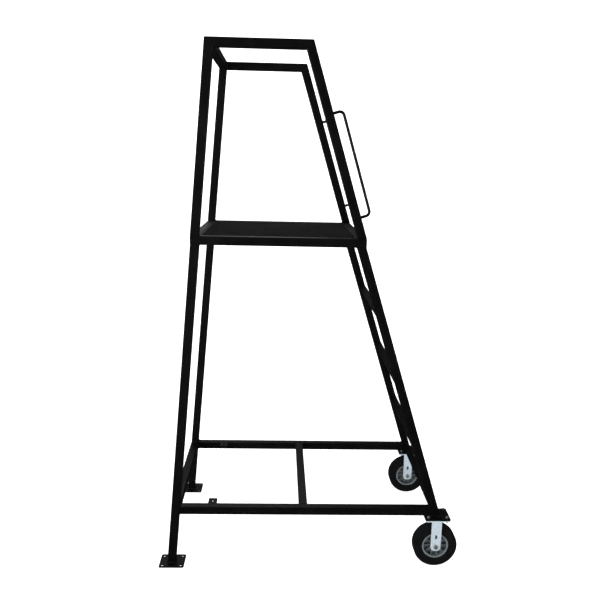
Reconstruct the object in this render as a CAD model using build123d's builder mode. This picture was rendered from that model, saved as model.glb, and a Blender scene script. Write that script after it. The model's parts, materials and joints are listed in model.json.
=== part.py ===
"""Mobile ladder stand: a welded square-tube work platform on two rigid casters and two foot plates.

Frame: +X points to the ladder (the climbing side), +Y to the climber's right on the way down,
+Z up. The origin is on the floor, under the middle of the whole object. Millimetres.

The stand is three welded frames stacked on each other: the lower frame (two leaning legs, two
ladder stiles, a base of rails and crossbars), the platform frame with its deck, and the upper
frame (four posts, two top rails and a rear crossbar) with two grab handles. Only the wheels turn.
"""
from build123d import *
from math import cos, hypot, radians, sin, tan
import os

os.makedirs("parts", exist_ok=True)

# --- overall sizes -------------------------------------------------------------------------
overall_width = 762.0        # across the outer faces of the side frames
platform_length = 747.0      # along X, outer faces of the platform frame
platform_height = 1525.5     # standing surface above the floor
rail_rise = 794.0            # top face of the hand rail above the deck

# --- frame tube ----------------------------------------------------------------------------
tube_size = 38.1             # outside of the square tube
tube_wall = 2.5
tube_corner = 3.0            # outside corner radius of the tube
rear_lean = 4.6              # degrees from vertical, legs and rear posts
stile_lean = 17.6            # degrees from vertical, ladder stiles
front_post_lean = 17.1       # degrees from vertical, front posts of the upper frame
middle_crossbar_offset = 132.0   # ahead of the middle of the platform

# --- treads ----------------------------------------------------------------------------------
tread_depth = 38.1
tread_thickness = 8.0
tread_edge = 1.2             # rounding of the long edges
lowest_tread_rise = 289.0    # from the tread in the base up to the next one
highest_tread_drop = 333.0   # from the platform down to the highest tread
tread_count = 3              # above the one in the base

# --- deck ------------------------------------------------------------------------------------
deck_thickness = 4.0
grip_thickness = 1.5         # abrasive layer on the deck
deck_gap = 1.0               # all round, inside the platform frame
grip_border = 6.0            # bare deck left round the abrasive layer
brace_height = 20.0
brace_offset = 124.0         # braces under the deck, each side of its middle

# --- foot plates -----------------------------------------------------------------------------
foot_plate_length = 114.3    # along X
foot_plate_width = 101.6
foot_plate_thickness = 6.35
foot_plate_corner = 8.0
foot_plate_shift = 2.5       # middle of the plate ahead of the middle of the leg
foot_hole_spacing_x = 85.0
foot_hole_spacing_y = 74.0
foot_hole_radius = 7.0

# --- base tabs -------------------------------------------------------------------------------
tab_length = 40.0            # along the rail
tab_reach = 46.0             # out from the rail's inner face
tab_thickness = 5.0
tab_corner = 6.0
tab_hole_radius = 6.5
tab_hole_reach = 22.0        # hole centre out from the rail's inner face
tab_offset = 287.0           # behind the middle of the platform
top_hole_radius = 5.0        # hole in the underside of the top rear crossbar

# --- grab handles ----------------------------------------------------------------------------
handle_rod = 12.7
handle_standoff = 40.5       # rod centre out from the post's front face
handle_bend = 19.0           # bend radius at the rod's centre
handle_low = 89.5            # lower leg above the platform, on the post's face
handle_high = 511.5          # upper leg above the platform, on the post's face

# --- casters ---------------------------------------------------------------------------------
caster_shift = 4.0           # middle of the caster ahead of the foot of the stile
wheel_radius = 101.6
wheel_headroom = 26.75       # from the top of the wheel to the fork's crown
tyre_width = 52.0
tyre_shoulder = 4.0
tyre_seat_radius = 61.5      # outside of the rim, inside of the tyre
rim_inner_radius = 52.5
rim_width = 46.0
hub_radius = 18.0
hub_length = 56.0
web_thickness = 4.0
rib_count = 10
rib_thickness = 4.0
rib_depth = 34.0
bearing_radius = 14.0        # outside of the roller bearing, inside of the hub
bearing_length = 52.0
sleeve_radius = 9.5
running_clearance = 0.05     # radial, bearing on sleeve
axle_radius = 6.0
axle_hole_clearance = 0.3
hub_side_gap = 1.0           # hub end to fork leg
fork_thickness = 5.0
fork_width = 46.0
fork_bend = 8.0              # outside radius where a fork leg turns into the crown
slot_width = 11.0
slot_height = 19.0
slot_rise = 49.0             # slot centre above the axle
mount_plate_length = 114.3   # along X
mount_plate_width = 101.6
mount_plate_thickness = 9.525
caster_plate_length = 111.0  # along X
caster_plate_width = 98.0
caster_plate_thickness = 6.35
caster_plate_corner = 5.0
caster_bolt_spacing_x = 85.0
caster_bolt_spacing_y = 76.2
caster_bolt_radius = 4.0
caster_bolt_hole_clearance = 0.5
bolt_head_across_corners = 15.0
bolt_head_height = 5.5
nut_height = 6.5
bolt_thread_beyond_nut = 3.0
axle_head_across_corners = 21.0
axle_head_height = 8.0
axle_nut_height = 10.0
axle_thread_beyond_nut = 3.0
edge_break = 0.6

# --- heights that follow from those -------------------------------------------------------------
crown_underside = 2 * wheel_radius + wheel_headroom
caster_plate_underside = crown_underside + fork_thickness
mount_plate_underside = caster_plate_underside + caster_plate_thickness
base_rail_underside = mount_plate_underside + mount_plate_thickness
base_rail_height = base_rail_underside + tube_size
platform_underside = platform_height - tube_size
top_rail_height = platform_height + rail_rise
top_rail_underside = top_rail_height - tube_size
deck_top = platform_height - grip_thickness
deck_underside = deck_top - deck_thickness
lowest_tread = base_rail_height + lowest_tread_rise
highest_tread = platform_height - highest_tread_drop
tread_spacing = (highest_tread - lowest_tread) / (tread_count - 1)

# --- widths that follow -------------------------------------------------------------------------
inner_face_y = overall_width / 2 - tube_size
side_frame_y = overall_width / 2 - tube_size / 2
leg_width_x = tube_size / cos(radians(rear_lean))
stile_width_x = tube_size / cos(radians(stile_lean))
front_post_width_x = tube_size / cos(radians(front_post_lean))
rear_slope = tan(radians(rear_lean))
stile_slope = tan(radians(stile_lean))
front_post_slope = tan(radians(front_post_lean))

# The platform's place along X puts the origin midway between the foot plates' rear edges
# and the wheels' front edges.
rear_reach = (
    platform_length / 2
    - leg_width_x / 2
    + rear_slope * (platform_underside - foot_plate_thickness)
    + foot_plate_length / 2
    - foot_plate_shift
)
front_reach = (
    platform_length / 2
    - stile_width_x / 2
    + stile_slope * (platform_underside - base_rail_underside)
    + caster_shift
    + wheel_radius
)
platform_x = (rear_reach - front_reach) / 2
platform_rear = platform_x - platform_length / 2
platform_front = platform_x + platform_length / 2


def leg_x(z):
    """Middle of a rear leg at height z."""
    return platform_rear + leg_width_x / 2 - rear_slope * (platform_underside - z)


def stile_x(z):
    """Middle of a ladder stile at height z."""
    return platform_front - stile_width_x / 2 + stile_slope * (platform_underside - z)


def rear_post_x(z):
    """Middle of a rear post at height z."""
    return platform_rear + leg_width_x / 2 + rear_slope * (z - platform_height)


def front_post_x(z):
    """Middle of a front post at height z."""
    return platform_front - front_post_width_x / 2 - front_post_slope * (z - platform_height)


caster_x = stile_x(base_rail_underside) + caster_shift
foot_x = leg_x(foot_plate_thickness) + foot_plate_shift
fork_inner_y = hub_length / 2 + hub_side_gap
fork_outer_y = fork_inner_y + fork_thickness


def plane_facing(origin, direction_1, direction_2, toward):
    """Plane along two directions, with its normal on the side of the point toward."""
    normal = Vector(*direction_1).cross(Vector(*direction_2))
    if normal.dot(Vector(*toward) - Vector(*origin)) < 0:
        normal = -normal
    return Plane(origin=origin, z_dir=normal)


def corner_plane(outer, inner, toward):
    """Mitre plane through a corner's outer and inner points, across the width of the tube."""
    across = (0, 1, 0) if outer[1] == inner[1] else (0, 0, 1)
    diagonal = tuple(b - a for a, b in zip(outer, inner))
    return plane_facing(outer, diagonal, across, toward)


def tube_section(width=tube_size):
    """Hollow square section, drawn in the current sketch; width is its size along local X."""
    wall_x = tube_wall * width / tube_size
    RectangleRounded(width, tube_size, tube_corner)
    RectangleRounded(
        width - 2 * wall_x,
        tube_size - 2 * tube_wall,
        tube_corner - tube_wall / 2,
        mode=Mode.SUBTRACT,
    )


def leaning_tube(middle_x, width_x, low, high, y):
    """Tube in a side frame from height low to high, cut level at both ends."""
    run = middle_x(high) - middle_x(low)
    with BuildPart() as tube:
        with BuildSketch(Plane.XY.offset(low)):
            with Locations((middle_x(low), y)):
                tube_section(width_x)
        extrude(amount=hypot(run, high - low), dir=(run, 0, high - low))
    return tube


def tube_along_x(start, end, y, top):
    """Level tube along X."""
    with BuildPart() as tube:
        with BuildSketch(Plane.YZ.offset(start)):
            with Locations((y, top - tube_size / 2)):
                tube_section()
        extrude(amount=end - start)
    return tube


def crossbar(x, top, half_length=inner_face_y):
    """Level tube along Y, centred on the middle plane."""
    with BuildPart() as tube:
        with BuildSketch(Plane.XZ.offset(-half_length)):
            with Locations((x, top - tube_size / 2)):
                tube_section()
        extrude(amount=2 * half_length)
    return tube


def hexagon_stud(across_corners, head_height, radius, length):
    """Bolt drawn along +Z of the current location: head below the origin, shank above it."""
    with BuildPart(mode=Mode.PRIVATE) as stud:
        with BuildSketch(Plane.XY.offset(-head_height)):
            RegularPolygon(across_corners / 2, 6)
        extrude(amount=head_height)
        chamfer(stud.faces().sort_by(Axis.Z)[0].edges(), edge_break)
        with BuildSketch(Plane.XY):
            Circle(radius)
        extrude(amount=length)
        chamfer(stud.faces().sort_by(Axis.Z)[-1].edges(), edge_break)
    return stud.part


def hexagon_nut(across_corners, height, radius):
    """Nut drawn along +Z from the origin, its bore the size of the bolt."""
    with BuildPart(mode=Mode.PRIVATE) as nut:
        with BuildSketch(Plane.XY):
            RegularPolygon(across_corners / 2, 6)
        extrude(amount=height)
        chamfer(nut.faces().sort_by(Axis.Z)[-1].outer_wire().edges(), edge_break)
        with BuildSketch(Plane.XY):
            Circle(radius)
        extrude(amount=height, mode=Mode.SUBTRACT)
    return nut.part


def save(builder, node):
    """Label a finished piece and write it under its node's name."""
    builder.part.label = node
    export_step(builder.part, f"parts/{node}.step")


# --- lower frame --------------------------------------------------------------------------------
for side, sign in (("left", -1), ("right", 1)):
    y = sign * side_frame_y

    rear_leg = leaning_tube(leg_x, leg_width_x, foot_plate_thickness, platform_underside, y)
    save(rear_leg, f"rear_leg_{side}")

    ladder_stile = leaning_tube(stile_x, stile_width_x, base_rail_underside, platform_underside, y)
    save(ladder_stile, f"ladder_stile_{side}")

    # A base rail runs from the leg's front face to the stile's rear face, cut to both leans.
    base_middle = (platform_x, y, base_rail_height)
    leg_front = (leg_x(0) + leg_width_x / 2, y, 0)
    stile_rear = (stile_x(0) - stile_width_x / 2, y, 0)
    with BuildPart() as base_side_rail:
        with BuildSketch(Plane.YZ.offset(leg_x(0))):
            with Locations((y, base_rail_height - tube_size / 2)):
                tube_section()
        extrude(amount=stile_x(0) - leg_x(0))
        split(bisect_by=plane_facing(leg_front, (rear_slope, 0, 1), (0, 1, 0), base_middle))
        split(bisect_by=plane_facing(stile_rear, (-stile_slope, 0, 1), (0, 1, 0), base_middle))
    save(base_side_rail, f"base_side_rail_{side}")

    with BuildPart() as foot_plate:
        with BuildSketch(Plane.XY):
            with Locations((foot_x, y)):
                RectangleRounded(foot_plate_length, foot_plate_width, foot_plate_corner)
                with GridLocations(foot_hole_spacing_x, foot_hole_spacing_y, 2, 2):
                    Circle(foot_hole_radius, mode=Mode.SUBTRACT)
        extrude(amount=foot_plate_thickness)
        chamfer(foot_plate.faces().sort_by(Axis.Z)[-1].outer_wire().edges(), edge_break)
    save(foot_plate, f"foot_plate_{side}")

    # The tab is flush with the rail's top and welded along its inner face.
    with BuildPart() as base_tab:
        with BuildSketch(Plane.XY.offset(base_rail_height - tab_thickness)):
            with Locations((platform_x - tab_offset, sign * (inner_face_y - tab_reach / 2))):
                Rectangle(tab_length, tab_reach)
            with Locations((platform_x - tab_offset, sign * (inner_face_y - tab_hole_reach))):
                Circle(tab_hole_radius, mode=Mode.SUBTRACT)
        extrude(amount=tab_thickness)
        inner_edges = base_tab.edges().filter_by(Axis.Z).sort_by(Axis.Y, reverse=sign < 0)[:2]
        fillet(inner_edges, tab_corner)
    save(base_tab, f"base_tab_{side}")

save(crossbar(leg_x(base_rail_height - tube_size / 2), base_rail_height), "base_rear_crossbar")
save(crossbar(platform_x + middle_crossbar_offset, base_rail_height), "base_middle_crossbar")

# One tread closes the base between the stiles; the others are evenly spaced above it.
tread_tops = [base_rail_height]
for step in range(tread_count):
    tread_tops.append(lowest_tread + step * tread_spacing)
for number, top in enumerate(tread_tops, start=1):
    with BuildPart() as tread:
        with BuildSketch(Plane.XZ.offset(-inner_face_y)):
            with Locations((stile_x(top - tread_thickness / 2), top - tread_thickness / 2)):
                RectangleRounded(tread_depth, tread_thickness, tread_edge)
        extrude(amount=2 * inner_face_y)
    save(tread, f"tread_{number}")

# --- platform frame -------------------------------------------------------------------------------
platform_middle = (platform_x, 0, platform_height)
for side, sign in (("left", -1), ("right", 1)):
    y = sign * side_frame_y
    with BuildPart() as platform_side_rail:
        with BuildSketch(Plane.YZ.offset(platform_rear)):
            with Locations((y, platform_height - tube_size / 2)):
                tube_section()
        extrude(amount=platform_length)
        for end_x, inward in ((platform_rear, 1), (platform_front, -1)):
            outer = (end_x, sign * overall_width / 2, 0)
            inner = (end_x + inward * tube_size, sign * inner_face_y, 0)
            split(bisect_by=corner_plane(outer, inner, (platform_x, y, 0)))
    save(platform_side_rail, f"platform_side_rail_{side}")

for end, end_x, inward in (("rear", platform_rear, 1), ("front", platform_front, -1)):
    with BuildPart() as platform_end_rail:
        with BuildSketch(Plane.XZ.offset(-overall_width / 2)):
            with Locations((end_x + inward * tube_size / 2, platform_height - tube_size / 2)):
                tube_section()
        extrude(amount=overall_width)
        for sign in (-1, 1):
            outer = (end_x, sign * overall_width / 2, 0)
            inner = (end_x + inward * tube_size, sign * inner_face_y, 0)
            split(bisect_by=corner_plane(outer, inner, (end_x + inward * tube_size / 2, 0, 0)))
    save(platform_end_rail, f"platform_{end}_rail")

deck_length = platform_length - 2 * tube_size - 2 * deck_gap
deck_width = 2 * inner_face_y - 2 * deck_gap
with BuildPart() as deck_plate:
    with BuildSketch(Plane.XY.offset(deck_underside)):
        with Locations((platform_x, 0)):
            Rectangle(deck_length, deck_width)
    extrude(amount=deck_thickness)
save(deck_plate, "deck_plate")

with BuildPart() as deck_grip_surface:
    with BuildSketch(Plane.XY.offset(deck_top)):
        with Locations((platform_x, 0)):
            Rectangle(deck_length - 2 * grip_border, deck_width - 2 * grip_border)
    extrude(amount=grip_thickness)
save(deck_grip_surface, "deck_grip_surface")

for end, inward in (("rear", -1), ("front", 1)):
    with BuildPart() as deck_brace:
        with BuildSketch(Plane.XZ.offset(-inner_face_y)):
            with Locations((platform_x + inward * brace_offset, deck_underside - brace_height / 2)):
                Rectangle(tube_size, brace_height)
                Rectangle(tube_size - 2 * tube_wall, brace_height - 2 * tube_wall, mode=Mode.SUBTRACT)
        extrude(amount=2 * inner_face_y)
    save(deck_brace, f"deck_brace_{end}")

# --- upper frame --------------------------------------------------------------------------------
# Each side is one bent-looking hoop of three tubes, mitred where the posts meet the top rail.
rear_outer_x = rear_post_x(top_rail_height) - leg_width_x / 2
rear_inner_x = rear_post_x(top_rail_underside) + leg_width_x / 2
front_outer_x = front_post_x(top_rail_height) + front_post_width_x / 2
front_inner_x = front_post_x(top_rail_underside) - front_post_width_x / 2
top_middle_x = (rear_outer_x + front_outer_x) / 2
over_top = top_rail_height + tube_size

for side, sign in (("left", -1), ("right", 1)):
    y = sign * side_frame_y
    rail_middle = (top_middle_x, y, top_rail_height - tube_size / 2)
    rear_corner = ((rear_outer_x, y, top_rail_height), (rear_inner_x, y, top_rail_underside))
    front_corner = ((front_outer_x, y, top_rail_height), (front_inner_x, y, top_rail_underside))

    with BuildPart() as rear_post:
        add(leaning_tube(rear_post_x, leg_width_x, platform_height, over_top, y).part)
        split(bisect_by=corner_plane(*rear_corner, (rear_post_x(platform_height), y, platform_height)))
    save(rear_post, f"rear_post_{side}")

    with BuildPart() as front_post:
        add(leaning_tube(front_post_x, front_post_width_x, platform_height, over_top, y).part)
        split(bisect_by=corner_plane(*front_corner, (front_post_x(platform_height), y, platform_height)))
    save(front_post, f"front_post_{side}")

    with BuildPart() as top_rail:
        add(tube_along_x(rear_outer_x - tube_size, front_outer_x + tube_size, y, top_rail_height).part)
        split(bisect_by=corner_plane(*rear_corner, rail_middle))
        split(bisect_by=corner_plane(*front_corner, rail_middle))
    save(top_rail, f"top_rail_{side}")

    # The handle is a round rod bent twice, standing off the post's front face and parallel to it.
    face_low = platform_height + handle_low
    face_high = platform_height + handle_high
    face_length = (face_high - face_low) / cos(radians(front_post_lean))
    lean = radians(front_post_lean)
    handle_plane = Plane(
        origin=(front_post_x(face_low) + front_post_width_x / 2, y, face_low),
        x_dir=(cos(lean), 0, sin(lean)),
        z_dir=(0, -1, 0),
    )
    with BuildPart() as grab_handle:
        with BuildLine(handle_plane):
            rod_path = FilletPolyline(
                (0, 0),
                (handle_standoff, 0),
                (handle_standoff, face_length),
                (0, face_length),
                radius=handle_bend,
            )
        with BuildSketch(Plane(origin=rod_path @ 0, z_dir=rod_path % 0)):
            Circle(handle_rod / 2)
        sweep()
    save(grab_handle, f"grab_handle_{side}")

with BuildPart() as top_rear_crossbar:
    add(crossbar(rear_outer_x + tube_size / 2, top_rail_height).part)
    with BuildSketch(Plane.XY.offset(top_rail_underside)):
        with Locations((rear_outer_x + tube_size / 2, 0)):
            Circle(top_hole_radius)
    extrude(amount=tube_wall, mode=Mode.SUBTRACT)
save(top_rear_crossbar, "top_rear_crossbar")

# --- casters ------------------------------------------------------------------------------------
# A rigid caster: its top plate is bolted under the frame's mount plate, and a U-shaped fork holds
# the axle bolt, which clamps a sleeve between the fork legs. The wheel turns on the sleeve.
axle_z = wheel_radius

for side, sign in (("left", -1), ("right", 1)):
    y = sign * side_frame_y
    bolt_places = [
        (caster_x + dx * caster_bolt_spacing_x / 2, y + dy * caster_bolt_spacing_y / 2)
        for dx in (-1, 1)
        for dy in (-1, 1)
    ]
    bolt_hole_radius = caster_bolt_radius + caster_bolt_hole_clearance

    with BuildPart() as caster_mount_plate:
        with BuildSketch(Plane.XY.offset(mount_plate_underside)):
            with Locations((caster_x, y)):
                Rectangle(mount_plate_length, mount_plate_width)
            with Locations(*bolt_places):
                Circle(bolt_hole_radius, mode=Mode.SUBTRACT)
        extrude(amount=mount_plate_thickness)
    save(caster_mount_plate, f"caster_mount_plate_{side}")

    with BuildPart() as caster_top_plate:
        with BuildSketch(Plane.XY.offset(caster_plate_underside)):
            with Locations((caster_x, y)):
                RectangleRounded(caster_plate_length, caster_plate_width, caster_plate_corner)
            with Locations(*bolt_places):
                Circle(bolt_hole_radius, mode=Mode.SUBTRACT)
        extrude(amount=caster_plate_thickness)
    save(caster_top_plate, f"caster_top_plate_{side}")

    # The fork is a bent strap: a U in the YZ plane, whose legs end in a half circle at the axle.
    side_plane = Plane(origin=(caster_x, y, axle_z), x_dir=(1, 0, 0), z_dir=(0, -1, 0))
    fork_height = caster_plate_underside - axle_z + fork_width / 2
    with BuildPart() as caster_fork:
        with BuildSketch(Plane.YZ.offset(caster_x - fork_width / 2)) as fork_section:
            with Locations((y, caster_plate_underside)):
                Rectangle(2 * fork_outer_y, fork_height, align=(Align.CENTER, Align.MAX))
            fillet(fork_section.vertices().group_by(Axis.Z)[-1], fork_bend)
            with Locations((y, crown_underside)):
                Rectangle(2 * fork_inner_y, fork_height, align=(Align.CENTER, Align.MAX),
                          mode=Mode.SUBTRACT)
        extrude(amount=fork_width)
        with BuildSketch(side_plane):
            Circle(fork_width / 2)
            Rectangle(fork_width, fork_height, align=(Align.CENTER, Align.MIN))
        extrude(amount=fork_outer_y, both=True, mode=Mode.INTERSECT)
        with BuildSketch(side_plane):
            Circle(axle_radius + axle_hole_clearance)
            with Locations((0, slot_rise)):
                Rectangle(slot_width, slot_height)
        extrude(amount=fork_outer_y, both=True, mode=Mode.SUBTRACT)
    save(caster_fork, f"caster_fork_{side}")

    shank = mount_plate_thickness + caster_plate_thickness + nut_height + bolt_thread_beyond_nut
    bolt = hexagon_stud(bolt_head_across_corners, bolt_head_height, caster_bolt_radius, shank)
    with BuildPart() as caster_mount_bolts:
        with Locations(*[Location((bx, by, caster_plate_underside)) for bx, by in bolt_places]):
            add(bolt)
    save(caster_mount_bolts, f"caster_mount_bolts_{side}")

    nut = hexagon_nut(bolt_head_across_corners, nut_height, caster_bolt_radius)
    with BuildPart() as caster_mount_nuts:
        with Locations(*[Location((bx, by, base_rail_underside)) for bx, by in bolt_places]):
            add(nut)
    save(caster_mount_nuts, f"caster_mount_nuts_{side}")

    # The axle bolt goes in from the outside, so its head is on the open side of the stand.
    outward = Plane(origin=(caster_x, y + sign * fork_outer_y, axle_z), z_dir=(0, -sign, 0))
    inward = Plane(origin=(caster_x, y - sign * fork_outer_y, axle_z), z_dir=(0, -sign, 0))
    axle_length = 2 * fork_outer_y + axle_nut_height + axle_thread_beyond_nut
    with BuildPart() as axle_bolt:
        with Locations(outward):
            add(hexagon_stud(axle_head_across_corners, axle_head_height, axle_radius, axle_length))
    save(axle_bolt, f"axle_bolt_{side}")

    with BuildPart() as axle_nut:
        with Locations(inward):
            add(hexagon_nut(axle_head_across_corners, axle_nut_height, axle_radius))
    save(axle_nut, f"axle_nut_{side}")

    with BuildPart() as axle_sleeve:
        with BuildSketch(side_plane):
            Circle(sleeve_radius)
            Circle(axle_radius, mode=Mode.SUBTRACT)
        extrude(amount=fork_inner_y, both=True)
    save(axle_sleeve, f"axle_sleeve_{side}")

    with BuildPart() as wheel_bearing:
        with BuildSketch(side_plane):
            Circle(bearing_radius)
            Circle(sleeve_radius + running_clearance, mode=Mode.SUBTRACT)
        extrude(amount=bearing_length / 2, both=True)
    save(wheel_bearing, f"wheel_bearing_{side}")

    # The hub is one moulding: boss, thin web, radial ribs on both faces and the rim.
    with BuildPart() as wheel_hub:
        with BuildSketch(side_plane):
            Circle(tyre_seat_radius)
            Circle(rim_inner_radius, mode=Mode.SUBTRACT)
        extrude(amount=rim_width / 2, both=True)
        with BuildSketch(side_plane):
            Circle(rim_inner_radius + edge_break)
        extrude(amount=web_thickness / 2, both=True)
        with BuildSketch(side_plane):
            with PolarLocations((hub_radius + rim_inner_radius) / 2, rib_count):
                Rectangle(rim_inner_radius - hub_radius + 2 * edge_break, rib_thickness)
        extrude(amount=rib_depth / 2, both=True)
        with BuildSketch(side_plane):
            Circle(hub_radius)
        extrude(amount=hub_length / 2, both=True)
        with BuildSketch(side_plane):
            Circle(bearing_radius)
        extrude(amount=hub_length / 2, both=True, mode=Mode.SUBTRACT)
    save(wheel_hub, f"wheel_hub_{side}")

    tyre_plane = Plane(origin=(caster_x, y, axle_z), x_dir=(0, 1, 0), z_dir=(1, 0, 0))
    with BuildPart() as wheel_tyre:
        with BuildSketch(tyre_plane) as tyre_section:
            with Locations((0, tyre_seat_radius)):
                Rectangle(tyre_width, wheel_radius - tyre_seat_radius, align=(Align.CENTER, Align.MIN))
            fillet(tyre_section.vertices().group_by(Axis.Z)[-1], tyre_shoulder)
        revolve(axis=Axis((caster_x, y, axle_z), (0, 1, 0)))
    save(wheel_tyre, f"wheel_tyre_{side}")
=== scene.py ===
# %% [markdown]
# # A mobile ladder stand
# The stand is one welded frame of black square tube. It stands on two foot plates and two rigid
# casters, and a climber goes up four flat treads to a gritty deck with hand rails round it. The
# frame below is the finished CAD model. Blender adds what CAD leaves out: weld beads, screw
# threads, rounded rods and tyres, and a finish for every surface.

# %% Load the frame
import json
from math import cos, pi, radians, sin, tan
import bmesh
import bpy
import numpy as np
from mathutils import Matrix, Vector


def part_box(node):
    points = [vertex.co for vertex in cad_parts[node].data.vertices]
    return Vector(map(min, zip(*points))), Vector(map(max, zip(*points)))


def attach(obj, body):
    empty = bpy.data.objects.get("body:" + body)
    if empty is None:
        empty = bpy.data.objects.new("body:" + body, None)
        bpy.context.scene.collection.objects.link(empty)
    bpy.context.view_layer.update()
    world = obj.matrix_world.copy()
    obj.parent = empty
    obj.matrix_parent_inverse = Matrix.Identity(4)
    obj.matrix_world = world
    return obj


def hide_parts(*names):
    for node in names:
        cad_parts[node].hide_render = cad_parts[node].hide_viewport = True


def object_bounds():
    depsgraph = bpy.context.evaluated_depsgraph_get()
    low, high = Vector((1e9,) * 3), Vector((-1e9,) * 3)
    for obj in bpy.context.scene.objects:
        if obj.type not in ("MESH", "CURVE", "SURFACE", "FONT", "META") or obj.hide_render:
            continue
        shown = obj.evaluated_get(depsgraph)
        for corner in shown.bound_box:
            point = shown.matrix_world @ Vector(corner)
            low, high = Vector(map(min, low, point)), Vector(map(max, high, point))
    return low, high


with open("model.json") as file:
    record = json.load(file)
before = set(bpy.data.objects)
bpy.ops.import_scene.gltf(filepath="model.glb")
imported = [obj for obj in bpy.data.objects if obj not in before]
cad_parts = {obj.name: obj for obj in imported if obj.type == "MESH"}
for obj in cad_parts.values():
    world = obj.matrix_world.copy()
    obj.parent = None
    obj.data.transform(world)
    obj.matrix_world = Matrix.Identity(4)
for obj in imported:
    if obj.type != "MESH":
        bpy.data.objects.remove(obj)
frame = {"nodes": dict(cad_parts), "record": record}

cad_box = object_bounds()
nodes = frame["nodes"]
sides = (("left", -1), ("right", 1))


def box_of(node):
    """Low corner, high corner and middle of a CAD node, as arrays."""
    low, high = (np.array(corner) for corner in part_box(node))
    return low, high, (low + high) / 2


stand_low, stand_high = (np.array(corner) for corner in cad_box)
print("stand, metres:", np.round(stand_high - stand_low, 4))

# %% [markdown]
# ## Camera
# The stand is seen from its left side, from a little above the deck, so that the treads and the
# far frame show behind the near one. A camera can be aimed with a Track To constraint, but its
# place and three turns are steadier here: pitch down, yaw to the right, and a slight roll.

# %% Camera
camera_place = (-0.15968, -3.25371, 1.85262)
camera_pitch = radians(11.6765)
camera_yaw = radians(1.8622)
camera_roll = radians(1.2790)
camera_lens = 41.05

lens = bpy.data.cameras.new("camera")
lens.lens = camera_lens
lens.sensor_width = 36
camera = bpy.data.objects.new("camera", lens)
bpy.context.scene.collection.objects.link(camera)
aim = Matrix.Rotation(-camera_yaw, 4, "Z") @ Matrix.Rotation(pi / 2 - camera_pitch, 4, "X")
camera.matrix_world = Matrix.Translation(camera_place) @ aim @ Matrix.Rotation(camera_roll, 4, "Z")
bpy.context.scene.camera = camera
print("camera stands", round(-camera_place[1], 2), "m from the middle of the stand")

# %% [markdown]
# ## Light
# Satin black shows its shape only by what it mirrors. A lamp above and a weaker one behind draw
# pale lines along the tops of the tubes. The two lamps at the sides stand well off the camera, so
# that the near faces stay black while the zinc forks are lit. One big light near the camera would
# be simpler, but it greys every near face. The sky is kept low for the same reason, and the
# Standard view keeps the paper white and the coat black, where the default view softens both.

# %% Lamps and sky
def soft_lamp(name, place, target, size, power):
    """Square area lamp that faces the target point."""
    data = bpy.data.lights.new(name, "AREA")
    data.shape = "SQUARE"
    data.size = size
    data.energy = power
    lamp = bpy.data.objects.new(name, data)
    away = np.array(place, float) - np.array(target, float)
    away /= np.linalg.norm(away)
    side = np.cross((0, 0, 1), away)
    side /= np.linalg.norm(side)
    turned = Matrix(np.column_stack([side, np.cross(away, side), away]).tolist()).to_4x4()
    lamp.matrix_world = Matrix.Translation(place) @ turned
    bpy.context.scene.collection.objects.link(lamp)
    return lamp


middle = (0, 0, 1.1)
soft_lamp("lamp_above", (-0.6, -0.4, 5.2), middle, 3.0, 90)
soft_lamp("lamp_front_left", (-4.8, -3.2, 1.5), middle, 2.2, 240)
soft_lamp("lamp_right", (4.6, -2.4, 2.2), middle, 2.4, 70)
soft_lamp("lamp_behind", (-0.8, 4.2, 4.3), middle, 2.6, 30)

sky = bpy.data.worlds.new("studio")
sky.use_nodes = True
sky.node_tree.nodes["Background"].inputs["Color"].default_value = (0.95, 0.97, 1.0, 1)
sky.node_tree.nodes["Background"].inputs["Strength"].default_value = 0.015
bpy.context.scene.world = sky
bpy.context.scene.view_settings.view_transform = "Standard"
print("lamps:", len(bpy.data.lights))

# %% [markdown]
# ## Surfaces from arrays
# Every new piece is a grid of points: rows along it and columns round it. One function turns such
# grids into a mesh with foreach_set. Where a row shrinks to a point, such as the middle of a bolt
# head, the doubled points are merged, so that the pole is closed.

# %% Grids to meshes
sharp_angle = 35
merge_distance = 1e-6


def quads_of(rows, columns, wrap_rows, wrap_columns):
    """Corner numbers of the quads over a grid; wrapping joins its last row or column to the first."""
    row = np.arange(rows if wrap_rows else rows - 1)[:, None]
    column = np.arange(columns if wrap_columns else columns - 1)[None, :]
    row_next, column_next = (row + 1) % rows, (column + 1) % columns
    corners = (
        row * columns + column,
        row * columns + column_next,
        row_next * columns + column_next,
        row_next * columns + column,
    )
    return np.stack(corners, axis=-1).reshape(-1, 4)


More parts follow.
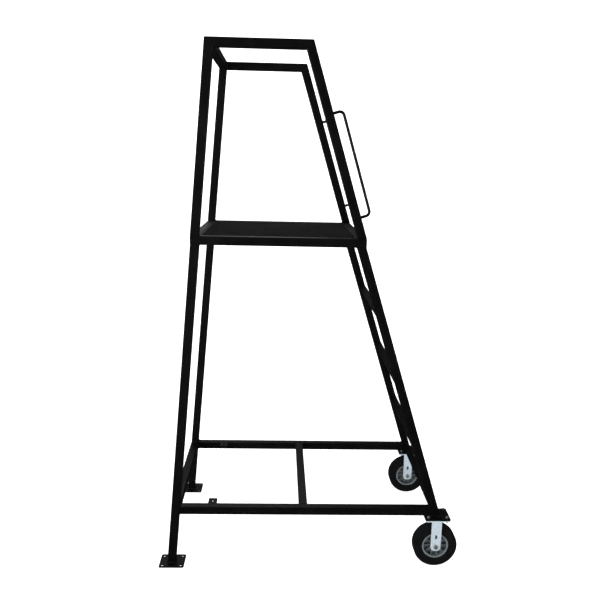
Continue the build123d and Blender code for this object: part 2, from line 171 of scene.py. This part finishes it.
def piece(name, grids, body, finish, stands_for=()):
    """One object from grids of points (points, wrap_rows, wrap_columns), riding on a body."""
    starts = np.cumsum([0] + [points.shape[0] * points.shape[1] for points, _, _ in grids])
    points = np.concatenate([grid.reshape(-1, 3) for grid, _, _ in grids])
    faces = np.concatenate([
        quads_of(*grid.shape[:2], wrap_rows, wrap_columns) + start
        for (grid, wrap_rows, wrap_columns), start in zip(grids, starts)
    ])
    mesh = bpy.data.meshes.new(name)
    mesh.vertices.add(len(points))
    mesh.vertices.foreach_set("co", points.ravel())
    mesh.loops.add(faces.size)
    mesh.loops.foreach_set("vertex_index", faces.ravel())
    mesh.polygons.add(len(faces))
    mesh.polygons.foreach_set("loop_start", np.arange(0, faces.size, 4))
    mesh.update(calc_edges=True)
    shell = bmesh.new()
    shell.from_mesh(mesh)
    bmesh.ops.remove_doubles(shell, verts=shell.verts, dist=merge_distance)
    bmesh.ops.dissolve_degenerate(shell, edges=shell.edges, dist=merge_distance)
    bmesh.ops.recalc_face_normals(shell, faces=shell.faces)
    shell.to_mesh(mesh)
    shell.free()
    mesh.shade_smooth()
    mesh.set_sharp_from_angle(angle=radians(sharp_angle))
    mesh.materials.append(finish)
    made = bpy.data.objects.new(name, mesh)
    bpy.context.scene.collection.objects.link(made)
    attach(made, body)
    if stands_for:
        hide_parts(*stands_for)
    print(name, "faces:", len(mesh.polygons))
    return made


def rounded(corners, radius, closed=True, steps=5):
    """Line through 2D corners with each one turned into an arc.

    At a corner with unit directions a and b to its neighbours and half its angle h, the arc's
    centre is radius / sin h along the bisector, and the arc sweeps evenly from one side to the other.
    """
    corners = np.array(corners, float)
    inner = corners if closed else corners[1:-1]
    before = np.roll(corners, 1, axis=0) if closed else corners[:-2]
    after = np.roll(corners, -1, axis=0) if closed else corners[2:]
    a = (before - inner) / np.linalg.norm(before - inner, axis=1, keepdims=True)
    b = (after - inner) / np.linalg.norm(after - inner, axis=1, keepdims=True)
    half = np.arccos(np.clip((a * b).sum(axis=1), -1, 1))[:, None] / 2
    bisector = (a + b) / np.linalg.norm(a + b, axis=1, keepdims=True)
    centre = inner + bisector * radius / np.sin(half)
    start = inner + a * radius / np.tan(half) - centre
    end = inner + b * radius / np.tan(half) - centre
    sweep = (pi - 2 * half)[:, None]
    share = np.linspace(0, 1, steps + 1)[None, :, None]
    arcs = np.sin((1 - share) * sweep) * start[:, None] + np.sin(share * sweep) * end[:, None]
    line = (centre[:, None] + arcs / np.sin(sweep)).reshape(-1, 2)
    return line if closed else np.vstack([corners[:1], line, corners[-1:]])


# %% [markdown]
# ## Floor
# A pale sheet runs under the stand and curves up behind it, as a studio's paper roll does. It is a
# line of floor, curve and wall, carried sideways, so no corner shows behind the stand. The black
# coat would mirror such a bright sheet at every grazing angle, so mirrored rays pass through it.
# A white drum stands far outside it, so that the stand is seen on white from every side. It sends
# no light to the stand: a drum that did would flatten the shading that the lamps give.

# %% Floor and backdrop
paper_half_width = 9.0
paper_front = -7.0
paper_back = 5.0
paper_height = 7.0
paper_curve = 2.5

paper = bpy.data.materials.new("pale_paper")
paper.use_nodes = True
paper_shader = paper.node_tree.nodes["Principled BSDF"]
paper_shader.inputs["Base Color"].default_value = (0.93, 0.93, 0.935, 1)
paper_shader.inputs["Roughness"].default_value = 0.9
paper_shader.inputs["Specular IOR Level"].default_value = 0.1
paper_shader.inputs["Emission Color"].default_value = (1, 1, 1, 1)
paper_shader.inputs["Emission Strength"].default_value = 0.94

paper_line = rounded([(paper_front, 0), (paper_back, 0), (paper_back, paper_height)], paper_curve, False, 24)
across = np.linspace(-paper_half_width, paper_half_width, 3)[:, None]
sheet = np.stack(np.broadcast_arrays(across, paper_line[None, :, 0], paper_line[None, :, 1]), axis=-1)


def paper_object(name, points):
    """Object of white paper from one grid of points."""
    mesh = bpy.data.meshes.new(name)
    mesh.from_pydata(points.reshape(-1, 3).tolist(), [], quads_of(*points.shape[:2], False, False).tolist())
    mesh.materials.append(paper)
    made = bpy.data.objects.new(name, mesh)
    bpy.context.scene.collection.objects.link(made)
    made.visible_glossy = False
    return made


backdrop = paper_object("backdrop", sheet)
backdrop.data.shade_smooth()

drum_radius = 13.0
drum_height = 10.0
drum_drop = 0.02
drum_eye = 0.01
t = np.linspace(0, 2 * pi, 97)[:, None]
r = np.array([drum_eye, drum_radius, drum_radius, drum_eye])
z = np.array([-drum_drop, -drum_drop, drum_height, drum_height])
drum_points = np.stack([r * np.cos(t), r * np.sin(t), z + 0 * t], axis=-1)
drum = paper_object("drum", drum_points)
drum.visible_diffuse = drum.visible_shadow = False
print("backdrop points:", sheet.shape[:2], "drum points:", drum_points.shape[:2])

# %% [markdown]
# ## Finishes
# Each finish is a few nodes: a noise or cell pattern in the object's own metres drives colour,
# roughness and a very small bump. Pictures wrapped round the tubes could do it too, but a pattern
# in space needs no unwrapping and meets itself at every weld.

# %% Node helpers
def new_finish(name):
    """Material with its shader and the point's own place in metres, to start a pattern from."""
    material = bpy.data.materials.new(name)
    material.use_nodes = True
    tree = material.node_tree
    shader = tree.nodes["Principled BSDF"]
    place = tree.nodes.new("ShaderNodeTexCoord").outputs["Object"]
    return material, tree, shader, place


def noise(tree, place, per_metre, detail=4.0, rough=0.55):
    """Soft cloudy pattern, about 0 to 1, with this many blotches to the metre."""
    node = tree.nodes.new("ShaderNodeTexNoise")
    node.inputs["Scale"].default_value = per_metre
    node.inputs["Detail"].default_value = detail
    node.inputs["Roughness"].default_value = rough
    tree.links.new(place, node.inputs["Vector"])
    return node.outputs["Fac"]


def cells(tree, place, per_metre):
    """Cell pattern: the distance to the nearest of this many scattered points to the metre."""
    node = tree.nodes.new("ShaderNodeTexVoronoi")
    node.inputs["Scale"].default_value = per_metre
    tree.links.new(place, node.inputs["Vector"])
    return node.outputs["Distance"]


def stretched(tree, place, scale, centre=(0, 0, 0)):
    """The place measured from a centre, with each axis scaled by itself."""
    moved = tree.nodes.new("ShaderNodeMapping")
    moved.vector_type = "POINT"
    moved.inputs["Scale"].default_value = scale
    moved.inputs["Location"].default_value = tuple(-c * s for c, s in zip(centre, scale))
    tree.links.new(place, moved.inputs["Vector"])
    return moved.outputs["Vector"]


def shades(tree, pattern, dark, light, low=0.3, high=0.7):
    """Colour that goes from dark to light as the pattern goes from low to high."""
    ramp = tree.nodes.new("ShaderNodeValToRGB")
    ramp.color_ramp.elements[0].position = low
    ramp.color_ramp.elements[1].position = high
    ramp.color_ramp.elements[0].color = (*dark, 1)
    ramp.color_ramp.elements[1].color = (*light, 1)
    tree.links.new(pattern, ramp.inputs["Fac"])
    return ramp.outputs["Color"]


def spread(tree, pattern, low, high, start=0.3, end=0.7):
    """Number that goes from low to high as the pattern goes from start to end."""
    node = tree.nodes.new("ShaderNodeMapRange")
    for socket, value in (("From Min", start), ("From Max", end), ("To Min", low), ("To Max", high)):
        node.inputs[socket].default_value = value
    tree.links.new(pattern, node.inputs["Value"])
    return node.outputs["Result"]


def bumps(tree, shader, pattern, depth, strength=1.0, under=None):
    """Lifts the surface by up to depth metres where the pattern is high, on top of coarser bumps."""
    node = tree.nodes.new("ShaderNodeBump")
    node.inputs["Distance"].default_value = depth
    node.inputs["Strength"].default_value = strength
    tree.links.new(pattern, node.inputs["Height"])
    if under:
        tree.links.new(under, node.inputs["Normal"])
    tree.links.new(node.outputs["Normal"], shader.inputs["Normal"])
    return node.outputs["Normal"]


# %% [markdown]
# ### Black powder coat
# Baked powder is satin black with a faint orange peel, a millimetre or two across. Handling leaves
# patches that are a little duller, and dust settles as a slightly greyer film.

# %% Black powder coat
def powder_coat(name):
    material, tree, shader, place = new_finish(name)
    dust = noise(tree, place, 9.0, 5.0, 0.6)
    handled = noise(tree, stretched(tree, place, (1, 1, 0.35)), 24.0, 6.0, 0.6)
    colour = shades(tree, dust, (0.0014, 0.0014, 0.0015), (0.0034, 0.0034, 0.0036))
    tree.links.new(colour, shader.inputs["Base Color"])
    tree.links.new(spread(tree, handled, 0.34, 0.48), shader.inputs["Roughness"])
    shader.inputs["Specular IOR Level"].default_value = 0.2
    peel = noise(tree, place, 620.0, 2.0, 0.5)
    bumps(tree, shader, peel, 0.00012, 0.6)
    return material


black_coat = powder_coat("black_powder_coat")
print("finish:", black_coat.name)

# %% [markdown]
# ### Anti-slip grit
# The deck is rolled with a coating full of hard grains. Cells of about a millimetre and a half make
# the grains, a coarser noise makes the uneven rolling, and hardly any light is mirrored.

# %% Anti-slip grit
def grit(name):
    material, tree, shader, place = new_finish(name)
    grains = cells(tree, place, 620.0)
    rolled = noise(tree, place, 11.0, 5.0, 0.62)
    colour = shades(tree, rolled, (0.0040, 0.0040, 0.0042), (0.0095, 0.0095, 0.0098))
    tree.links.new(colour, shader.inputs["Base Color"])
    tree.links.new(spread(tree, grains, 1.0, 0.85, 0.1, 0.7), shader.inputs["Roughness"])
    shader.inputs["Specular IOR Level"].default_value = 0.06
    clumps = bumps(tree, shader, noise(tree, place, 150.0, 3.0, 0.6), 0.0008, 0.5)
    bumps(tree, shader, grains, 0.0011, 0.9, clumps)
    return material


deck_grit = grit("anti_slip_grit")
print("finish:", deck_grit.name)

# %% [markdown]
# ### Zinc
# Plated steel is a soft bluish mirror under a milky film, so it is only partly metallic here.
# Large cells give the faint spangle, fine stretched noise the rolling lines of the strap, and the
# roughness wanders so that no highlight is perfectly even.

# %% Zinc plate
def zinc(name, pale, deep, low_rough, high_rough, spangle, metal):
    material, tree, shader, place = new_finish(name)
    shader.inputs["Metallic"].default_value = metal
    flakes = cells(tree, place, spangle)
    tree.links.new(shades(tree, flakes, pale, deep, 0.15, 0.75), shader.inputs["Base Color"])
    haze = noise(tree, place, 70.0, 5.0, 0.6)
    tree.links.new(spread(tree, haze, low_rough, high_rough), shader.inputs["Roughness"])
    lines = noise(tree, stretched(tree, place, (1, 1, 0.08)), 1400.0, 2.0, 0.5)
    bumps(tree, shader, lines, 0.00005, 0.5)
    return material


zinc_plate = zinc("zinc_plate", (0.80, 0.90, 0.97), (0.66, 0.76, 0.84), 0.40, 0.56, 150.0, 0.35)
bolt_zinc = zinc("bolt_zinc", (0.52, 0.54, 0.53), (0.32, 0.34, 0.33), 0.26, 0.42, 400.0, 0.8)
print("finishes:", zinc_plate.name, bolt_zinc.name)

# %% [markdown]
# ### Turned steel
# The sleeve and the bearing are turned on a lathe, so fine rings run round the axle. A ring wave
# measured from the axle's own line makes them, so each wheel has its own copy of the finish.

# %% Turned steel
def turned_steel(name, centre):
    material, tree, shader, place = new_finish(name)
    shader.inputs["Metallic"].default_value = 1.0
    rings = tree.nodes.new("ShaderNodeTexWave")
    rings.wave_type = "RINGS"
    rings.rings_direction = "Y"
    rings.inputs["Scale"].default_value = 420.0
    rings.inputs["Distortion"].default_value = 0.6
    tree.links.new(stretched(tree, place, (1, 1, 1), centre), rings.inputs["Vector"])
    colour = shades(tree, rings.outputs["Fac"], (0.36, 0.36, 0.37), (0.52, 0.52, 0.53), 0.1, 0.9)
    tree.links.new(colour, shader.inputs["Base Color"])
    tree.links.new(spread(tree, noise(tree, place, 300.0), 0.22, 0.38), shader.inputs["Roughness"])
    bumps(tree, shader, rings.outputs["Fac"], 0.00003, 0.5)
    return material


# %% [markdown]
# ### Moulded nylon and rubber
# The hub is grey nylon with the fine grain of its mould. The tyre is dark solid rubber: nearly
# matt, with soft patches a little paler than the rest and a fine grain that scatters what it mirrors.

# %% Nylon and rubber
def moulded(name, dark, light, low_rough, high_rough, grain, depth, mirror):
    material, tree, shader, place = new_finish(name)
    patches = noise(tree, place, 28.0, 5.0, 0.6)
    tree.links.new(shades(tree, patches, dark, light), shader.inputs["Base Color"])
    wear = noise(tree, place, 90.0, 4.0)
    tree.links.new(spread(tree, wear, low_rough, high_rough), shader.inputs["Roughness"])
    shader.inputs["Specular IOR Level"].default_value = mirror
    bumps(tree, shader, noise(tree, place, grain, 3.0, 0.6), depth, 0.7)
    return material


hub_nylon = moulded(
    "hub_nylon", (0.125, 0.148, 0.156), (0.17, 0.197, 0.206), 0.42, 0.60, grain=900.0, depth=0.00008,
    mirror=0.3,
)
tyre_rubber = moulded(
    "tyre_rubber", (0.0026, 0.0027, 0.0033), (0.0055, 0.0057, 0.0065), 0.70, 0.90, grain=650.0, depth=0.00018,
    mirror=0.10,
)
print("finishes:", hub_nylon.name, tyre_rubber.name)

# %% [markdown]
# ## Dressing the frame
# A CAD node whose shape is right stays as it is, and only gets its finish. The record says which
# slot each node belongs to, so one table from slot to finish dresses them all.

# %% Finishes on the CAD nodes
finish_of_slot = {
    "black_powder_coat": black_coat,
    "anti_slip_grit": deck_grit,
    "zinc_plate": zinc_plate,
    "bolt_zinc": bolt_zinc,
    "hub_grey": hub_nylon,
    "tyre_rubber": tyre_rubber,
}
axle_line = {side: box_of(f"wheel_tyre_{side}")[2] for side, _ in sides}
for side, _ in sides:
    finish_of_slot[f"bearing_steel_{side}"] = turned_steel(f"turned_steel_{side}", axle_line[side])

for part in frame["record"]["subparts"]:
    slot = part["material_slot"]
    if slot == "bearing_steel":
        slot += "_left" if part["node"].endswith("_left") else "_right"
    materials = nodes[part["node"]].data.materials
    materials.clear()
    materials.append(finish_of_slot[slot])

# %% [markdown]
# ## Tyres
# A solid tyre is nearly square in section. A CAD sweep gives the plain shape; here its outline is
# drawn with eased shoulders, three shallow grooves run round the tread, and a fine raised line
# marks each side wall.

# %% Tyres
tyre_corner = 0.0045
groove_depth = 0.0012
groove_places = (-0.013, 0.0, 0.013)
groove_half = 0.0016
side_line_radius = 0.086
side_line_height = 0.0006
side_line_half = 0.0012
straight_least = 0.004
straight_parts = 40
seat_lap = 0.0004
outer_relief = 0.00002


def tyre_section(seat, outer, half_width):
    """Closed outline (radius, width) of the tyre: a rounded rectangle, its straight sides in many parts.

    Each groove lowers the radius by groove_depth times a raised cosine across groove_half. The line
    on each side wall is a bell curve of the radius, side_line_height high.
    """
    wall = half_width - side_line_height
    line = rounded([(seat, -wall), (outer, -wall), (outer, wall), (seat, wall)], tyre_corner, steps=6)
    share = np.linspace(0, 1, straight_parts, endpoint=False)[:, None]
    runs = []
    for here, there in zip(line, np.roll(line, -1, axis=0)):
        straight = np.linalg.norm(there - here) > straight_least
        runs.append(here + share * (there - here) if straight else here[None])
    radius, width = np.concatenate(runs).T
    tread = radius > outer - 1e-6
    for place in groove_places:
        near = tread & (np.abs(width - place) < groove_half)
        radius = radius - groove_depth * near * (0.5 + 0.5 * np.cos(pi * (width - place) / groove_half))
    bell = np.exp(-(((radius - side_line_radius) / side_line_half) ** 2))
    return np.column_stack([radius, width + np.sign(width) * side_line_height * bell])


def spun(section, centre, turns):
    """Carries a closed (radius, width) outline round an axle along Y through the centre.

    The point (r, w) at angle t is centre + (r cos t, w, r sin t).
    """
    t = np.linspace(0, 2 * pi, turns, endpoint=False)[:, None]
    r, w = section[None, :, 0], section[None, :, 1]
    return centre + np.stack([r * np.cos(t), w + 0 * t, r * np.sin(t)], axis=-1)


for side, _ in sides:
    low, high, _ = box_of(f"wheel_tyre_{side}")
    hub_low, hub_high, _ = box_of(f"wheel_hub_{side}")
    seat = (hub_high[0] - hub_low[0]) / 2 - seat_lap
    section = tyre_section(seat, (high[0] - low[0]) / 2 - outer_relief, (high[1] - low[1]) / 2)
    grid = (spun(section, axle_line[side], 144), True, True)
    piece(f"tyre_{side}", [grid], f"wheel_{side}", tyre_rubber, [f"wheel_tyre_{side}"])

# %% [markdown]
# ## Hubs
# A nylon hub is one moulding: a rim, a thin web, a boss and ribs between them. The rim, web and
# boss are one rounded outline spun round the axle. Each rib is a thin bar whose height dips between
# its ends, and it runs through the web, so that one bar serves both faces.

# %% Hubs
rim_thickness = 0.007
rim_half_width = 0.023
boss_radius = 0.018
bearing_seat = 0.014
web_half = 0.002
rib_half = 0.0017
rib_end_height = 0.0165
rib_dip = 0.0045
rib_total = 10
rib_root = 0.001
rim_draft = 0.0008
corner_ease = 0.0011


def hub_section(outer, half_length):
    """Closed outline (radius, width) of boss, web and rim, with all corners eased."""
    rim = outer - rim_thickness
    half = [
        (bearing_seat, half_length), (boss_radius, half_length), (boss_radius, web_half),
        (rim, web_half), (rim - rim_draft, rim_half_width), (outer, rim_half_width),
    ]
    other = [(r, -w) for r, w in reversed(half)]
    return rounded(half + other, corner_ease, steps=4)


def rib(angle, centre, inner, outer):
    """A bar from the boss to the rim: s runs along it and t round its squarish section.

    Its half height at s is rib_end_height less rib_dip sin(pi s), and its section is the sixth-power oval.
    """
    s = np.linspace(0, 1, 12)[:, None]
    t = np.linspace(0, 2 * pi, 16, endpoint=False)[None, :]
    along = inner + (outer - inner) * s + 0 * t
    thick = rib_half * np.sign(np.cos(t)) * np.abs(np.cos(t)) ** 0.33 + 0 * s
    high = (rib_end_height - rib_dip * np.sin(pi * s)) * np.sign(np.sin(t)) * np.abs(np.sin(t)) ** 0.33
    x = along * cos(angle) - thick * sin(angle)
    z = along * sin(angle) + thick * cos(angle)
    body = np.stack([x, high, z], axis=-1)
    ends = body.mean(axis=1, keepdims=True) + 0 * body
    return centre + np.concatenate([ends[:1], body, ends[-1:]])


for side, _ in sides:
    low, high, _ = box_of(f"wheel_hub_{side}")
    outer, half_length = (high[0] - low[0]) / 2, (high[1] - low[1]) / 2
    grids = [(spun(hub_section(outer, half_length), axle_line[side], 120), True, True)]
    rib_start, rib_end = boss_radius - rib_root, outer - rim_thickness + rib_root
    for number in range(rib_total):
        turn = 2 * pi * number / rib_total
        grids.append((rib(turn, axle_line[side], rib_start, rib_end), False, True))
    piece(f"hub_{side}", grids, f"wheel_{side}", hub_nylon, [f"wheel_hub_{side}"])

# %% [markdown]
# ## Bolts and nuts
# A hexagon head is a six-sided prism whose top corners a shallow cone takes off. Round the head,
# the side is at apothem / cos(angle from the middle of the flat). A screw thread is a cylinder
# whose radius ripples with its height, and the ripple moves on as the angle goes round.

# %% Bolts and nuts
mount_corner = 0.0075
mount_radius = 0.004
mount_pitch = 0.00125
axle_radius = 0.006
axle_pitch = 0.00175
nut_bite = 0.0004
flat_share = 0.94
thread_depth_share = 0.6


def hexagon(corner_radius, height, hole=0.0):
    """Head or nut on z = 0: rows up its section, columns round it. A hole makes it a ring."""
    t = np.linspace(0, 2 * pi, 72, endpoint=False)[None, :]
    apothem = corner_radius * cos(pi / 6)
    side = apothem / np.cos(t % (pi / 3) - pi / 6)
    flat = flat_share * apothem + 0 * t
    drop = (side - flat) * tan(pi / 6)
    inner = hole + 0 * t
    radius = np.concatenate([inner, side, side, flat, inner])
    z = np.concatenate([0 * t, 0 * t, height - drop, height + 0 * t, height + 0 * t])
    return np.stack([radius * np.cos(t), radius * np.sin(t), z], axis=-1)


def threaded_shank(radius, length, pitch):
    """Shank on z = 0, threaded along its whole length, with an eased tip.

    The radius is the nominal one less half a thread's depth times 1 - cos(turns of height - angle).
    """
    t = np.linspace(0, 2 * pi, 28, endpoint=False)[None, :]
    z = np.linspace(0, length, int(length / pitch * 8))[:, None]
    ripple = thread_depth_share * pitch * (1 - np.cos(2 * pi * z / pitch - t)) / 2
    tip = np.clip((z - length) / pitch + 1, 0, 1) * thread_depth_share * pitch
    r = radius - np.maximum(ripple, tip)
    body = np.stack([r * np.cos(t), r * np.sin(t), z + 0 * t], axis=-1)
    ends = body.mean(axis=1, keepdims=True) + 0 * body
    return np.concatenate([ends[:1], body, ends[-1:]])


def placed(points, centre, axis):
    """Turns a shape that stands along +Z to stand along the axis, and moves it to the centre."""
    axis = np.array(axis, float)
    aside = np.array((1.0, 0, 0))
    return np.array(centre) + points @ np.array([aside, np.cross(axis, aside), axis])


for side, sign in sides:
    low, high, centre = box_of(f"caster_mount_bolts_{side}")
    nut_low, nut_high, _ = box_of(f"caster_mount_nuts_{side}")
    head_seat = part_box(f"caster_top_plate_{side}")[0][2]
    step_x = (high[0] - low[0]) / 2 - mount_corner
    step_y = (high[1] - low[1]) / 2 - mount_corner * cos(pi / 6)
    head = hexagon(mount_corner, head_seat - low[2])
    shank = threaded_shank(mount_radius, high[2] - head_seat, mount_pitch)
    nut = hexagon(mount_corner, nut_high[2] - nut_low[2], mount_radius - nut_bite)
    bolts, nuts = [], []
    for dx, dy in ((-1, -1), (-1, 1), (1, -1), (1, 1)):
        x, y = centre[0] + dx * step_x, centre[1] + dy * step_y
        bolts.append((placed(head, (x, y, head_seat), (0, 0, -1)), False, True))
        bolts.append((placed(shank, (x, y, head_seat), (0, 0, 1)), False, True))
        nuts.append((placed(nut, (x, y, nut_low[2]), (0, 0, 1)), True, True))
    piece(f"mount_bolts_{side}", bolts, "frame", bolt_zinc, [f"caster_mount_bolts_{side}"])
    piece(f"mount_nuts_{side}", nuts, "frame", bolt_zinc, [f"caster_mount_nuts_{side}"])

    low, high, _ = box_of(f"axle_bolt_{side}")
    nut_low, nut_high, _ = box_of(f"axle_nut_{side}")
    fork_low, fork_high, _ = box_of(f"caster_fork_{side}")
    corner = (high[2] - low[2]) / 2
    x, _, z = axle_line[side]
    outer_y, inner_y = (fork_high[1], fork_low[1]) if sign > 0 else (fork_low[1], fork_high[1])
    head_height = abs((high[1] if sign > 0 else low[1]) - outer_y)
    head = hexagon(corner, head_height)
    shank = threaded_shank(axle_radius, high[1] - low[1] - head_height, axle_pitch)
    nut = hexagon(corner, nut_high[1] - nut_low[1], axle_radius - nut_bite)
    screw = [
        (placed(head, (x, outer_y, z), (0, sign, 0)), False, True),
        (placed(shank, (x, outer_y, z), (0, -sign, 0)), False, True),
    ]
    ring = (placed(nut, (x, inner_y, z), (0, -sign, 0)), True, True)
    piece(f"axle_screw_{side}", screw, "frame", bolt_zinc, [f"axle_bolt_{side}"])
    piece(f"axle_lock_nut_{side}", [ring], "frame", bolt_zinc, [f"axle_nut_{side}"])

# %% [markdown]
# ## Grab handles
# Each handle is round rod, bent twice so that it stands off the leaning front post. Its middle line
# is three straight runs joined by arcs in the side frame's plane, and a circle is carried along it:
# every ring of points uses the line's own sideways direction there and the stand's Y.

# %% Grab handles
post_lean = radians(17.1)
handle_rod = 0.00635
handle_standoff = 0.0405
handle_bend = 0.019
handle_low_rise = 0.0895
handle_high_rise = 0.5115


def rod(path, y, radius):
    """Round bar along a line in the XZ plane: rows along the line, columns round it, ends closed."""
    forward = np.gradient(path, axis=0)
    forward /= np.linalg.norm(forward, axis=1, keepdims=True)
    sideways = np.column_stack([forward[:, 1], -forward[:, 0]])
    t = np.linspace(0, 2 * pi, 24, endpoint=False)[None, :]
    x = path[:, :1] + radius * np.cos(t) * sideways[:, :1]
    z = path[:, 1:] + radius * np.cos(t) * sideways[:, 1:]
    body = np.stack([x, y + radius * np.sin(t) + 0 * x, z], axis=-1)
    ends = body.mean(axis=1, keepdims=True) + 0 * body
    return np.concatenate([ends[:1], body, ends[-1:]])


for side, _ in sides:
    post_low, post_high, post = box_of(f"front_post_{side}")
    foot = np.array((post_high[0] - handle_low_rise * tan(post_lean), post_low[2] + handle_low_rise))
    length = (handle_high_rise - handle_low_rise) / cos(post_lean)
    out = np.array((cos(post_lean), sin(post_lean)))
    along = np.array((-sin(post_lean), cos(post_lean)))
    corners = [(0, 0), (handle_standoff, 0), (handle_standoff, length), (0, length)]
    line = rounded(corners, handle_bend, False, 12)
    path = foot + line[:, :1] * out + line[:, 1:] * along
    grid = (rod(path, post[1], handle_rod), False, True)
    piece(f"handle_rod_{side}", [grid], "frame", black_coat, [f"grab_handle_{side}"])

# %% [markdown]
# ## Weld beads
# The tubes are joined by fillet welds, ground a little and coated over. A bead is a quarter round
# laid in the corner between two faces, and it swells and shrinks every few millimetres where the
# welder paused. Merged into the tubes it would be lost, so each group of beads is its own piece.

# %% Weld beads
bead_size = 0.0032
tread_bead_size = 0.0026
bead_pause = 0.0042
bead_ripple = 0.14
bead_root = 0.0006
bead_overlap = 0.15
bar_inset = 0.002
brace_inset = 0.001
tube_half = 0.01905
leg_half = 0.01911
stile_half = 0.01999


def bead(start, end, face_a, face_b, size=bead_size):
    """Fillet weld from start to end in the corner of two faces with outward normals a and b.

    At share s along it and angle t across it, the point is the corner plus
    r(s) (cos t a + sin t b); r(s) is the size with a ripple, and falls to nothing at the ends.
    """
    start, end, a, b = (np.array(v, float) for v in (start, end, face_a, face_b))
    length = np.linalg.norm(end - start)
    s = np.linspace(0, 1, max(int(length / bead_pause * 5), 12))[:, None, None]
    t = np.linspace(-bead_overlap, pi / 2 + bead_overlap, 7)[None, :, None]
    ripple = 1 + bead_ripple * np.abs(np.sin(pi * s * length / bead_pause))
    fade = np.clip(1 - np.abs(2 * s - 1) ** (length / bead_size), 0, 1) ** 0.5
    outer = start + s * (end - start) + size * ripple * fade * (np.cos(t) * a + np.sin(t) * b)
    root = start + s * (end - start) - bead_root * (a + b) * fade
    return np.concatenate([outer, root], axis=1), False, True


def foot_beads(centre, half_x, z, only=("x-", "x+", "y-", "y+")):
    """Beads round an upright tube's foot on a level plate; only names the sides that get one."""
    x, y = centre
    runs = {
        "x-": ((x - half_x, y - tube_half), (x - half_x, y + tube_half), (-1, 0, 0)),
        "x+": ((x + half_x, y - tube_half), (x + half_x, y + tube_half), (1, 0, 0)),
        "y-": ((x - half_x, y - tube_half), (x + half_x, y - tube_half), (0, -1, 0)),
        "y+": ((x - half_x, y + tube_half), (x + half_x, y + tube_half), (0, 1, 0)),
    }
    return [bead((*runs[k][0], z), (*runs[k][1], z), runs[k][2], (0, 0, 1)) for k in only]


def cross_bead(x, y, z, face, up):
    """Level bead across a tube, in the corner of a face along X and a level one."""
    return bead((x, y - tube_half, z), (x, y + tube_half, z), (face, 0, 0), (0, 0, up))


def upright_bead(x, y, low, high, face, inward):
    """Upright bead at a crossbar's end, in the corner of its face along X and the side frame."""
    return bead((x, y, low), (x, y, high), (face, 0, 0), inward)


def long_bead(start, end, y, z, up, inward, size=bead_size):
    """Level bead along X, in the corner of a crossbar's level face and the side frame."""
    return bead((start, y, z), (end, y, z), (0, 0, up), inward, size)


foot_welds, caster_welds, base_welds, tread_welds, deck_welds, rail_welds = [], [], [], [], [], []
for side, sign in sides:
    inward = (0, -sign, 0)
    leg_low, leg_high, (_, y, _) = box_of(f"rear_leg_{side}")
    inner_y = y - sign * tube_half
    _, (_, _, plate_top), (_, plate_y, _) = box_of(f"foot_plate_{side}")
    foot_welds += foot_beads((leg_low[0] + leg_half, plate_y), leg_half, plate_top)

    (mount_start, _, _), (_, _, mount_top), (_, mount_y, _) = box_of(f"caster_mount_plate_{side}")
    stile_low, stile_high, _ = box_of(f"ladder_stile_{side}")
    stile_x = stile_high[0] - stile_half
    caster_welds += foot_beads((stile_x, mount_y), stile_half, mount_top, ("x+", "y-", "y+"))
    for face in (-1, 1):
        start = (mount_start + bar_inset, mount_y + face * tube_half, mount_top)
        end = (stile_x - stile_half, mount_y + face * tube_half, mount_top)
        caster_welds.append(bead(start, end, (0, face, 0), (0, 0, 1)))

    top_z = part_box(f"base_side_rail_{side}")[1][2]
    leg_shift = (leg_high[0] - leg_low[0] - 2 * leg_half) / (leg_high[2] - leg_low[2])
    leg_front = leg_low[0] + 2 * leg_half + leg_shift * (top_z - leg_low[2])
    base_welds.append(cross_bead(leg_front, y, top_z, 1, 1))
    stile_shift = (stile_high[0] - stile_low[0] - 2 * stile_half) / (stile_high[2] - stile_low[2])
    stile_back = stile_x - stile_half - stile_shift * (top_z - mount_top)
    base_welds.append(cross_bead(stile_back, y, top_z, -1, 1))

    low, high, _ = box_of("base_middle_crossbar")
    bottom, top = low[2] + bar_inset, high[2] - bar_inset
    for x, face in ((low[0], -1), (high[0], 1)):
        base_welds.append(upright_bead(x, inner_y, bottom, top, face, inward))
    low, high, _ = box_of("base_rear_crossbar")
    for z, up in ((low[2], -1), (high[2], 1)):
        base_welds.append(long_bead(low[0] + bar_inset, high[0] - bar_inset, inner_y, z, up, inward))
    low, high, _ = box_of(f"base_tab_{side}")
    base_welds.append(long_bead(low[0], high[0], inner_y, low[2], -1, inward))

    for number in range(1, 5):
        low, high, _ = box_of(f"tread_{number}")
        start, end = low[0] + bar_inset, high[0] - bar_inset
        for z, up in ((low[2], -1), (high[2], 1)):
            tread_welds.append(long_bead(start, end, inner_y, z, up, inward, tread_bead_size))

    low, high, _ = box_of(f"platform_side_rail_{side}")
    for z, up in ((high[2], 1), (low[2], -1)):
        for x, face in ((low[0] + 2 * leg_half, 1), (high[0] - 2 * stile_half, -1)):
            deck_welds.append(cross_bead(x, y, z, face, up))
    for end in ("rear", "front"):
        low, high, _ = box_of(f"deck_brace_{end}")
        bottom, top = low[2] + brace_inset, high[2] - brace_inset
        for x, face in ((low[0], -1), (high[0], 1)):
            deck_welds.append(upright_bead(x, inner_y, bottom, top, face, inward))

    low, high, _ = box_of("top_rear_crossbar")
    rail_welds.append(upright_bead(high[0], inner_y, low[2] + bar_inset, high[2] - bar_inset, 1, inward))

for name, group in (
    ("foot_welds", foot_welds), ("caster_welds", caster_welds), ("base_welds", base_welds),
    ("tread_welds", tread_welds), ("deck_welds", deck_welds), ("rail_welds", rail_welds),
):
    piece(name, group, "frame", black_coat)
